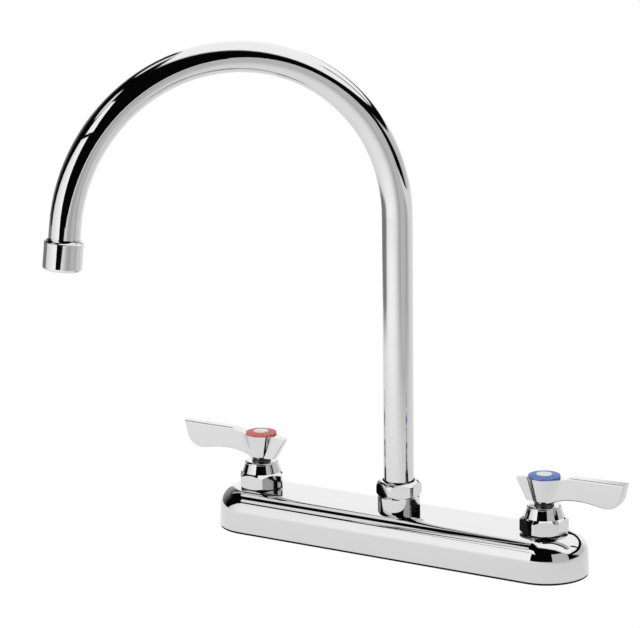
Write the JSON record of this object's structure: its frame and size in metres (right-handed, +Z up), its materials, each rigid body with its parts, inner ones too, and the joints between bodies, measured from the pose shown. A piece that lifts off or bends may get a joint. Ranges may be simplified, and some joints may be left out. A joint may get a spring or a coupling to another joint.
{
  "type": "deck mount gooseneck faucet",
  "caption": "Deck mount faucet with a swivelling gooseneck spout on a long round-ended cover, quarter-turn lever handles on hex bonnets, and threaded supply shanks below.",
  "frame": {"origin": "on the swivel axis of the spout, in the plane of the gasket's underside, where the deck is", "axes": "+X towards the cold valve, -Y towards the user, +Z up along the swivel axis"},
  "size_m": [0.314, 0.202, 0.3803],
  "materials": {
    "cover_chrome": "mirror polish",
    "bonnet_chrome": "mirror polish",
    "handle_chrome": "mirror polish",
    "nut_chrome": "mirror polish",
    "spout_chrome": "mirror polish",
    "outlet_chrome": "mirror polish",
    "brass": "machined",
    "steel": "satin",
    "black_rubber": "matte",
    "ceramic": "lapped",
    "white_plastic": "matte",
    "hot_index": "gloss",
    "cold_index": "gloss"
  },
  "bodies": {
    "base": {"deck_gasket": "black_rubber", "deck_cover": "cover_chrome", "spout_hub": "brass", "bonnet_washers": "black_rubber", "rubber_washers": "black_rubber", "steel_washers": "steel", "locknuts": "brass", "spout_collar": "nut_chrome", "swivel_nut": "nut_chrome", "thrust_washer": "white_plastic", "hot_valve_body": "brass", "hot_crossover_tube": "brass", "hot_seat_seal": "black_rubber", "hot_fixed_disc": "ceramic", "hot_bonnet": "bonnet_chrome", "cold_valve_body": "brass", "cold_crossover_tube": "brass", "cold_seat_seal": "black_rubber", "cold_fixed_disc": "ceramic", "cold_bonnet": "bonnet_chrome"},
    "hot_handle": {"hot_moving_disc": "ceramic", "hot_stem": "brass", "hot_stem_rings": "black_rubber", "hot_stem_clip": "steel", "hot_lever_handle": "handle_chrome", "hot_handle_screw": "steel", "hot_index_button": "hot_index"},
    "cold_handle": {"cold_moving_disc": "ceramic", "cold_stem": "brass", "cold_stem_rings": "black_rubber", "cold_stem_clip": "steel", "cold_lever_handle": "handle_chrome", "cold_handle_screw": "steel", "cold_index_button": "cold_index"},
    "spout": {"spout_ferrule": "brass", "spout_rings": "black_rubber", "spout_tube": "spout_chrome", "outlet_adapter": "outlet_chrome", "aerator_shell": "outlet_chrome", "aerator_washer": "black_rubber", "aerator_insert": "white_plastic"}
  },
  "joints": [
    {"name": "spout_swivel", "type": "hinge", "parent": "base", "child": "spout", "pos_m": [0, 0, 0.04], "axis": [0, 0, 1], "continuous": true},
    {"name": "hot_handle_turn", "type": "hinge", "parent": "base", "child": "hot_handle", "pos_m": [-0.1016, 0, 0.045], "axis": [0, 0, 1], "range_deg": [0, 90]},
    {"name": "cold_handle_turn", "type": "hinge", "parent": "base", "child": "cold_handle", "pos_m": [0.1016, 0, 0.045], "axis": [0, 0, 1], "range_deg": [-90, 0]}
  ]
}
